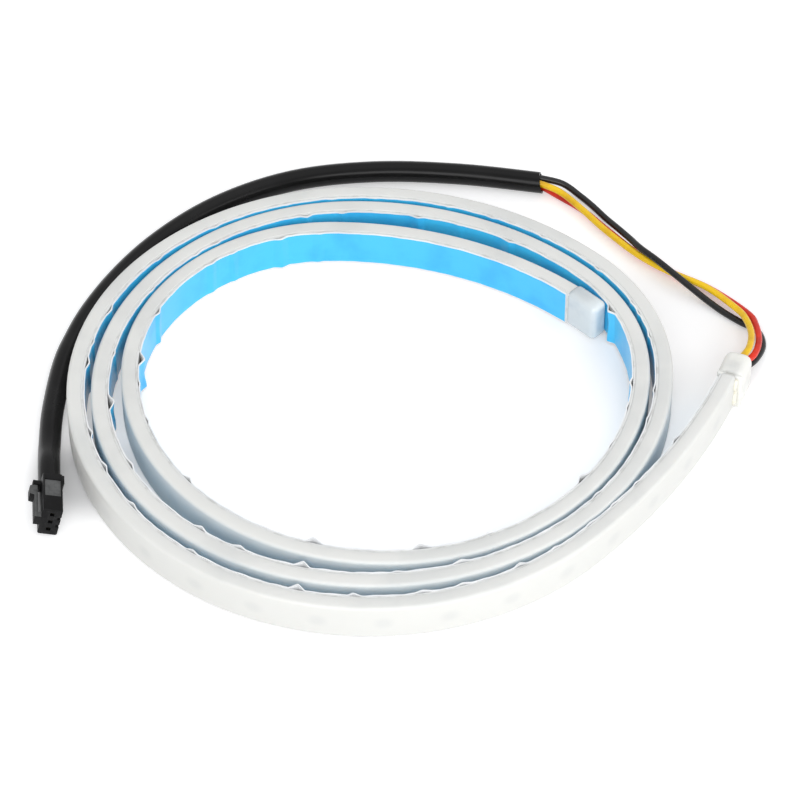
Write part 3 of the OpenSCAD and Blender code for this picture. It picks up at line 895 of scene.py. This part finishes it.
class LIGHTSTRIP_OT_stage(bpy.types.Operator):
    """Pale floor, soft light and the photographer's camera"""

    bl_idname = "light_strip.stage"
    bl_label = "Stage"

    def execute(self, context):
        look, _ = settings()
        scene = context.scene
        scene.view_settings.view_transform = "Standard"
        self.camera(scene)
        self.floor(look)
        self.lamps()
        self.world(scene)
        return {"FINISHED"}

    def camera(self, scene):
        data = bpy.data.cameras.new("camera")
        data.lens = CAMERA_LENS
        data.sensor_width = 36.0
        data.clip_start, data.clip_end = CAMERA_CLIP
        scene.camera = add_object("camera", data)
        down = math.radians(CAMERA_DOWN)
        forward = np.array((0, math.cos(down), -math.sin(down)))
        scene.camera.location = np.append(HOME[:2], MID_Z) * MM - forward * CAMERA_AWAY
        scene.camera.rotation_euler = (math.radians(90 - CAMERA_DOWN), 0, 0)

    def floor(self, look):
        z = float(CAD_BOX[0][2]) - FLOOR_DROP
        corners = [(x * FLOOR_HALF, y * FLOOR_HALF, z)
                   for x, y in ((-1, -1), (1, -1), (1, 1), (-1, 1))]
        obj = new_object("floor", corners, [(0, 1, 2, 3)])
        mat = new_material("pale floor", look.floor, look.floor, 0.3, 0.04, 3.0, 400.0, 0.0)
        w, shader, _ = parts_of(mat)
        rays = w.add("ShaderNodeLightPath").outputs
        seen = w.math("MAXIMUM", rays["Is Camera Ray"], rays["Is Glossy Ray"])
        glow = w.math("MULTIPLY", seen, FLOOR_GLOW)
        place = w.add("ShaderNodeTexCoord").outputs["Object"]
        # Painted shadows: the floor's glow is dimmed round each middle
        for centre, near, far, left in PAINTED_FLOOR_SHADOWS:
            gap = w.add("ShaderNodeVectorMath", {0: place, 1: centre}, operation="DISTANCE")
            glow = w.math("MULTIPLY", glow, w.ramp(gap.outputs["Value"], near, far, left, 1.0))
        w.fill(shader, {"Emission Strength": glow, "Emission Color": (1, 1, 1)})
        paint(obj, mat)

    def lamps(self):
        for name, (place, size, energy) in LAMPS.items():
            data = bpy.data.lights.new(name, "AREA")
            data.shape = "SQUARE"
            data.size = size
            data.energy = energy
            lamp = add_object(name, data)
            lamp.location = place
            lamp.rotation_euler = (-Vector(place)).to_track_quat("-Z", "Y").to_euler()

    def world(self, scene):
        scene.world = bpy.data.worlds.new("studio")
        scene.world.use_nodes = True
        w = Wiring(scene.world.node_tree)
        w.nodes.clear()
        rays = w.add("ShaderNodeLightPath").outputs
        seen = w.math("MAXIMUM", rays["Is Camera Ray"],
                      w.math("MAXIMUM", rays["Is Glossy Ray"], rays["Is Transmission Ray"]))
        light = w.get("ShaderNodeBackground", {"Color": WORLD_COLOUR, "Strength": WORLD_LIGHT})
        white = w.get("ShaderNodeBackground", {"Strength": 1.0})
        shown = w.get("ShaderNodeMixShader", {0: seen, 1: light, 2: white})
        w.add("ShaderNodeOutputWorld", {"Surface": shown})


class LIGHTSTRIP_OT_plug(bpy.types.Operator):
    """Black three-way plug with its latch, and the contacts in it"""

    bl_idname = "light_strip.plug"
    bl_label = "Plug"

    def execute(self, context):
        look, sizes = settings()
        obj = softened_copy("plug_shell", "plug_housing", sizes.plug_edge)
        nylon = new_material("black nylon", look.plug, srgb(20, 20, 21), 0.42, 0.12, 220.0,
                             3000.0, 0.12, 0.00002, {"Specular IOR Level": 0.15})
        # Grey nylon: plain grey on the recessed windows, painted light on the latch arm's top
        grey_and_highlight = new_material("satin nylon", srgb(82, 83, 83), srgb(66, 67, 67), 0.5, 0.1, 900.0,
                             4000.0, 0.3, 0.00003)
        paint(obj, nylon, grey_and_highlight)
        self.grey_and_highlight_faces(obj)
        finish_piece(obj, "plug_housing")
        brass = new_material("tinned brass", (0.72, 0.68, 0.58), (0.6, 0.55, 0.44), 0.3, 0.1,
                             300.0)
        dress(brass, "yellow_terminal", "red_terminal", "black_terminal")
        return {"FINISHED"}

    def grey_and_highlight_faces(self, obj):
        """The recessed windows are painted a rougher grey than the rest, and the latch arm's top
        the same grey as painted light.
        """
        window, arm = PLUG_H / 2 - 0.4, -PLUG_T / 2 - 0.5
        for face in obj.data.polygons:
            rel = np.array(face.center) / MM - HOME - PLUG_BACK
            u, v, w = rel @ PLUG_U, rel @ PLUG_V, PLUG_L - rel @ PLUG_AHEAD
            recess = abs(abs(v) - window) < 0.06 and 5 < w < 12.2
            # Painted light on the latch arm's top
            top = np.array(face.normal) @ PLUG_V > 0.8 and u < arm and w < 9
            face.material_index = int(recess or top)


class LIGHTSTRIP_OT_sleeve(bpy.types.Operator):
    """Glossy black sleeve round the three wires"""

    bl_idname = "light_strip.sleeve"
    bl_label = "Sleeve"

    def execute(self, context):
        look, _ = settings()
        p = sleeve_path(7)
        p[:, 2] = np.maximum(p[:, 2], SLEEVE_D / 2)
        # It is a little narrower where it is pinched, 0.62 of the way along
        pinch = np.exp(-((np.linspace(0, 1, len(p)) - 0.62) / 0.02) ** 2)
        radius = SLEEVE_D / 2 * (1 - 0.05 * pinch)
        walls = [tube_rings(p, r, 32, SLEEVE_FIRST, PLUG_AHEAD)
                 for r in (radius, radius - SLEEVE_WALL)]
        for rings in walls:
            rings[0] += np.outer((rings[0] - p[0]) @ MOUTH_SLANT, SLEEVE_FIRST)
        outer, bore = walls
        rings = np.concatenate((outer, bore[::-1], outer[:1]))
        obj = lofted("wire_sleeve", placed(rings), 50, closed_ends=False)
        paint(obj, new_material("black sleeve", look.sleeve, srgb(20, 20, 21), 0.24, 0.1, 90.0,
                                1200.0, 0.1, 0.00004, {"Specular IOR Level": 0.22}))
        finish_piece(obj, "cable_sleeve")
        tuple(placed(p[0]))
        placed(p).tolist()
        return {"FINISHED"}


class LIGHTSTRIP_OT_wires(bpy.types.Operator):
    """Yellow, red and black wires from the board to the plug"""

    bl_idname = "light_strip.wires"
    bl_label = "Wires"

    def execute(self, context):
        look, _ = settings()
        for node, (level, route, angle, row, dark) in WIRES.items():
            p = wire_path(level, route, angle, row)
            rings = tube_rings(p, WIRE_D / 2, 16, last=PLUG_AHEAD)
            obj = lofted(node.replace("wire", "lead_wire"), placed(rings), 50)
            colour = getattr(look, node.removesuffix("_wire"))
            paint(obj, new_material(node.replace("_", " "), colour, srgb(*dark), 0.28, 0.1, 140.0,
                                    2200.0, 0.08, more={"Specular IOR Level": 0.45}))
            finish_piece(obj, node)
            tuple(placed(p[2]))
            placed(p).tolist()
        return {"FINISHED"}


class LIGHTSTRIP_OT_profile(bpy.types.Operator):
    """Milky silicone strip and the foam tape on its back"""

    bl_idname = "light_strip.profile"
    bl_label = "Silicone and Tape"

    def execute(self, context):
        look, sizes = settings()
        path = path_object("strip path", 1.4)
        mat = silicone_material(look)
        set_inputs(path, profile_tree(), {
            "Height": STRIP_HEIGHT * MM, "Thickness": (FRONT_X - BACK_X) * MM,
            "Edge Radius": sizes.edge_radius, "Offset": (FRONT_X + BACK_X) / 2 * MM,
            "Hollow Height": HOLLOW[2] * MM, "Hollow Thickness": (HOLLOW[1] - HOLLOW[0]) * MM,
            "Hollow Offset": (HOLLOW[1] + HOLLOW[0]) / 2 * MM, "Material": mat,
        })
        obj = as_mesh_object("milky_profile", path)
        edit_mesh(obj.data, self.close_ends, face_outward)
        self.shape_section(obj, sizes)
        shade(obj, 40)
        paint(obj, mat)
        finish_piece(obj, "silicone_profile")
        s = np.append(np.arange(CAP_GRIP, COIL.length - CAP_GRIP, 1.6), COIL.length - CAP_GRIP)
        half = sizes.tape_height / MM / 2
        section = ((TAPE_X, MID_Z - half), (BACK_X, MID_Z - half), (BACK_X, MID_Z + half),
                   (TAPE_X, MID_Z + half))
        tape = lofted("foam_tape_strip", along_strip(s, section), 35)
        paint(tape, new_material("foam tape", look.tape, srgb(206, 206, 204), 0.85, 0.05, 300.0,
                                 5000.0, 0.5, 0.00006))
        finish_piece(tape, "mounting_tape")
        return {"FINISHED"}

    def close_ends(self, bm):
        """Bridges the outer wall to the hollow's at both ends."""
        start = Vector(placed(AT_START(0, 0, MID_Z)))
        rim = [e for e in bm.edges if e.is_boundary]
        if not rim:
            raise RuntimeError("the silicone has no open ends to close")
        for inner in (True, False):
            edges = [e for e in rim if ((e.verts[0].co - start).length < 0.02) == inner]
            bmesh.ops.bridge_loops(bm, edges=edges)

    def crisp_back(self, outward, height, sizes):
        """The long edges beside the tape are rounded less than those in front."""
        wide, tight = sizes.edge_radius / MM, sizes.back_edge / MM
        half = STRIP_HEIGHT / 2
        away = outward - BACK_X - wide
        level = np.abs(height - MID_Z) - (half - wide)
        corner = (away < 1e-3) & (level > -1e-3)
        turn = np.arctan2(np.clip(level, 0, None), np.clip(-away, 0, None))
        new_out = BACK_X + tight - tight * np.cos(turn)
        new_level = np.sign(height - MID_Z) * (half - tight + tight * np.sin(turn)) + MID_Z
        return np.where(corner, new_out, outward), np.where(corner, new_level, height)

    def shape_section(self, obj, sizes):
        """Sharpens the back edges and stores each point's place in the section."""
        mesh = obj.data
        n = len(mesh.vertices)
        co, along = np.empty(n * 3, dtype=np.float32), np.empty(n, dtype=np.float32)
        mesh.vertices.foreach_get("co", co)
        mesh.attributes["along"].data.foreach_get("value", along)
        co = co.reshape(-1, 3) / MM - HOME
        s = np.clip(along / MM, 0, COIL.length)
        i, ways_out = COIL.arc(s), spoke(COIL.heading(s))
        outward = ((co[:, :2] - COIL.centres[i]) * ways_out).sum(axis=1) - COIL.radii[i]
        outward, co[:, 2] = self.crisp_back(outward, co[:, 2], sizes)
        co[:, :2] = COIL.centres[i] + (COIL.radii[i] + outward)[:, None] * ways_out
        mesh.vertices.foreach_set("co", placed(co).astype(np.float32).ravel())
        outer = np.clip((outward - FRONT_X + 0.3) / OUTER_FADE, 0, 1)
        for name, values in (("height", co[:, 2]), ("outer", outer)):
            layer = mesh.attributes.new(name, "FLOAT", "POINT")
            layer.data.foreach_set("value", np.asarray(values, dtype=np.float32))


class LIGHTSTRIP_OT_film(bpy.types.Operator):
    """Blue release film with its buckles"""

    bl_idname = "light_strip.film"
    bl_label = "Release Film"

    def execute(self, context):
        look, sizes = settings()
        thick = sizes.film_thickness / MM
        buckles = self.buckles(sizes)
        low, high = CAP_GRIP + CAP_LAP + 0.05, COIL.length - CAP_GRIP - 0.05
        steps = [np.arange(low, high, FILM_STEP), [high]]
        steps += [at + np.linspace(-3.2, 3.2, 23) for at, *_ in buckles]
        s = np.unique(np.round(np.concatenate(steps), 3))
        s = s[(s >= low) & (s <= high)]
        levels = MID_Z + sizes.film_height / MM / 2 * np.array(FILM_LEVELS)
        n = len(levels)
        rise = self.rise(np.repeat(s, n), np.tile(levels, len(s)), buckles, thick)
        rise = rise.reshape(len(s), n)
        # Its long edges wander a little up and down
        wander = 0.12 * np.sin(s * 0.47) + 0.08 * np.sin(s * 1.13 + 2) + 0.22 * rise[:, -1]
        top = np.clip(levels + wander[:, None] * (np.arange(n) / (n - 1)) ** 6, 0.6, 12.9)
        top[:, 0] = levels[0] + 0.08 * np.sin(s * 0.53 + 1) + 0.06 * np.sin(s * 1.31)
        front = np.stack((TAPE_X - thick - rise, top), axis=-1)
        back = np.stack((TAPE_X - 0.01 - rise, top), axis=-1)[:, ::-1]
        rings = along_strip(s, np.concatenate((front, back), axis=1))
        obj = new_object("release_film_sheet", *loft(rings))
        paint(obj, *film_materials(look))
        index = np.ones(len(obj.data.polygons), dtype=np.int32)
        column = np.arange((len(s) - 1) * 2 * n) % (2 * n)
        index[:len(column)] = (column < 1) | (column >= n - 2)
        obj.data.polygons.foreach_set("material_index", index)
        edit_mesh(obj.data, merge_close, face_outward)
        shade(obj, 60)
        finish_piece(obj, "release_film")
        return {"FINISHED"}

    def buckles(self, sizes):
        """Every buckle as (length, rise, half width, lean, skew, wave)."""
        rng = np.random.default_rng(sizes.film_seed)
        return [
            (COIL.length_at(heading), getattr(sizes, rise) / MM, half * rng.uniform(0.85, 1.15),
             rng.uniform(-0.09, 0.09), rng.uniform(-0.25, 0.25), rng.uniform(0, 6.28))
            for headings, rise, half in BUCKLES for heading in headings
        ]

    def rise(self, s, z, buckles, thickness):
        """How far the film stands off its tape, in mm."""
        ripple = 0.05 * (1 + np.sin(s * 0.61 + z * 0.21)) + 0.04 * (1 + np.sin(s * 1.27 - z * 0.33))
        rise = ripple * 0.6
        for at, height, half, lean, skew, wave in buckles:
            near = np.abs(s - at) < 6
            level = z[near] - MID_Z
            away = (s[near] - at - lean * level) / half
            away = np.where(away > 0, away * (1 + skew), away * (1 - skew))
            core = np.clip(1 - np.abs(away) ** 1.4, 0, None) ** 1.5
            edge = np.abs(level) / 5.7
            full = 0.86 + 0.14 * np.sin(z[near] * 0.55 + wave) + 0.06 * edge ** 3
            bump = (height - thickness) * core * np.clip(full, 0, 1)
            rise[near] = np.maximum(rise[near], bump)
        return rise


class LIGHTSTRIP_OT_board(bpy.types.Operator):
    """Board inside the strip, its lights, resistors, joints and seal"""

    bl_idname = "light_strip.board"
    bl_label = "Board and Lights"

    def execute(self, context):
        mats = {name: new_material(name, *values) for name, values in INNER_FINISHES.items()}
        dress(mats["board"], "flex_board")
        dress(mats["solder"], "solder_joints")
        dress(mats["cap seal"], "end_cap_seal")
        tree = chip_tree()
        count = int((COIL.length - BOARD_END - SOLDER_L - LED_FIRST) // LED_PITCH) + 1
        for name, row in CHIP_ROWS.items():
            node, slot, first, step, offset, size, radius, body, face = row
            begin = LED_FIRST + first * LED_PITCH
            last = begin + step * LED_PITCH * ((count - 1 - first) // step) + 0.5
            path = path_object(name, 1.5)
            set_inputs(path, tree, {
                "First": begin * MM, "Last": last * MM, "Pitch": step * LED_PITCH * MM,
                "Offset": offset * MM, "Length": size[0] * MM, "Width": size[1] * MM,
                "Depth": size[2] * MM, "Face Radius": radius * MM,
                "Body Material": mats[body], "Face Material": mats[face],
            })
            finish_piece(as_mesh_object(name, path), node)
        return {"FINISHED"}


class LIGHTSTRIP_OT_caps(bpy.types.Operator):
    """Moulded caps on the strip's two ends"""

    bl_idname = "light_strip.caps"
    bl_label = "Caps"

    def execute(self, context):
        look, sizes = settings()
        self.end_cap(look, sizes.cap_rounding / MM)
        self.lead_cap(look, sizes.cap_rounding / MM)
        return {"FINISHED"}

    def end_cap(self, look, radius):
        obj = rounded_block("inner_end_cap", (BACK_X - CAP_SIDE, -END_NOSE, 0),
                            (FRONT_X + CAP_WALL, CAP_GRIP + CAP_LAP, CAP_HEIGHT), radius, 8,
                            AT_START)
        combine(obj, [self.strip_room(0, 12)], "DIFFERENCE")
        shade(obj, 35)
        paint(obj, new_material("end cap plastic", look.cap, look.cap_shade, 0.24, 0.06, 160.0,
                                1800.0, 0.04, more=milky(0.5, 0.003, 0.3)))
        finish_piece(obj, "end_cap")

    def lead_cap(self, look, radius):
        side = CAP_SIDE + CAP_SWELL
        obj = rounded_block("lead_end_cap", (BACK_X - side, -CAP_GRIP, 0),
                            (FRONT_X + side, LEAD_NOSE, CAP_HEIGHT), radius + CAP_SWELL, 8,
                            AT_TAIL)
        rim = rounded_block("cap rim", (BACK_X - side + 0.2, -CAP_GRIP, 0.2),
                            (FRONT_X + side - 0.2, 1.4 - CAP_GRIP, CAP_HEIGHT - 0.4), 0.69, 6,
                            AT_TAIL)
        combine(obj, [rim], "UNION")
        bores = [self.bore(MID_Z + k * WIRE_STEP) for k in (-1, 0, 1)]
        room = self.strip_room(COIL.length - 9, COIL.length)
        combine(obj, [room, *bores], "DIFFERENCE")
        shade(obj, 35)
        paint(obj, new_material("lead cap plastic", look.lead_cap, look.lead_cap_shade, 0.3, 0.08,
                                160.0, 1800.0, 0.06, more=milky(0.5, 0.003, 0.2)))
        finish_piece(obj, "lead_cap")

    def strip_room(self, low, high, radius=1.0, steps=4):
        """The room that the strip takes inside a cap."""
        half = STRIP_HEIGHT / 2 + CAP_ROOM - radius
        x0, x1 = BACK_X - CAP_ROOM + radius, FRONT_X + CAP_ROOM - radius
        section = []
        for x, z, start in ((x1, half, 0), (x0, half, 90), (x0, -half, 180), (x1, -half, 270)):
            turn = start + np.arange(steps + 1) * 90 / steps
            section.extend((x, MID_Z + z) + radius * spoke(turn))
        return lofted("strip room", along_strip(np.linspace(low, high, 9), section))

    def bore(self, z):
        """A round hole for a wire through the lead cap's nose."""
        ring = (WIRE_D / 2 + 0.05) * spoke(np.arange(20) * 18)
        rings = [[AT_TAIL(WIRE_X + x, ahead, z + y) for x, y in ring]
                 for ahead in (-2.0, LEAD_NOSE + 1.0)]
        return lofted("wire room", placed(rings))


class LIGHTSTRIP_OT_glue(bpy.types.Operator):
    """Glue squeezed out round the lead cap"""

    bl_idname = "light_strip.glue"
    bl_label = "Glue"

    def execute(self, context):
        look, sizes = settings()
        place = COIL.local(COIL.length - CAP_GRIP)
        p = smooth_path([place(FRONT_X + 0.02, ahead, z) for z, ahead in BEAD_AT], 6)
        along = np.linspace(0, 1, len(p))
        swell = np.array(BEAD_SWELL) * sizes.bead / MM
        radius = np.interp(along, np.linspace(0, 1, len(swell)), swell)
        radius *= np.clip(np.sqrt(1 - (2 * along - 1) ** 6), 0.05, 1)
        rings = tube_rings(p, radius, 16, up=(-0.3, -0.8, -0.1))
        obj = lofted("glue_bead", placed(rings))
        paint(obj, new_material("clear glue", look.glue, srgb(226, 220, 196), 0.16, 0.05, 400.0,
                                1500.0, 0.05, more=milky(0.4, 0.002, 0.5)))
        finish_piece(obj, "lead_cap_glue")
        return {"FINISHED"}


OPERATORS = (
    LIGHTSTRIP_OT_stage, LIGHTSTRIP_OT_plug, LIGHTSTRIP_OT_sleeve, LIGHTSTRIP_OT_wires,
    LIGHTSTRIP_OT_profile, LIGHTSTRIP_OT_film, LIGHTSTRIP_OT_board, LIGHTSTRIP_OT_caps,
    LIGHTSTRIP_OT_glue,
)


class LIGHTSTRIP_PT_pieces(bpy.types.Panel):
    """Lists the pieces and their settings"""

    bl_label = "Light Strip"
    bl_space_type = "VIEW_3D"
    bl_region_type = "UI"
    bl_category = "Light Strip"

    def draw(self, context):
        column = self.layout.column(align=True)
        for operator in OPERATORS:
            column.operator(operator.bl_idname)
        for group in (context.scene.strip_look, context.scene.strip_sizes):
            box = self.layout.box()
            for name in group.__annotations__:
                box.prop(group, name)


CLASSES = (StripLook, StripSizes, *OPERATORS, LIGHTSTRIP_PT_pieces)


def register():
    for item in CLASSES:
        bpy.utils.register_class(item)
    bpy.types.Scene.strip_look = PointerProperty(type=StripLook)
    bpy.types.Scene.strip_sizes = PointerProperty(type=StripSizes)


def unregister():
    del bpy.types.Scene.strip_sizes
    del bpy.types.Scene.strip_look
    for item in reversed(CLASSES):
        bpy.utils.unregister_class(item)


def main():
    register()
    for operator in OPERATORS:
        family, name = operator.bl_idname.split(".")
        getattr(getattr(bpy.ops, family), name)()


if __name__ == "__main__":
    main()
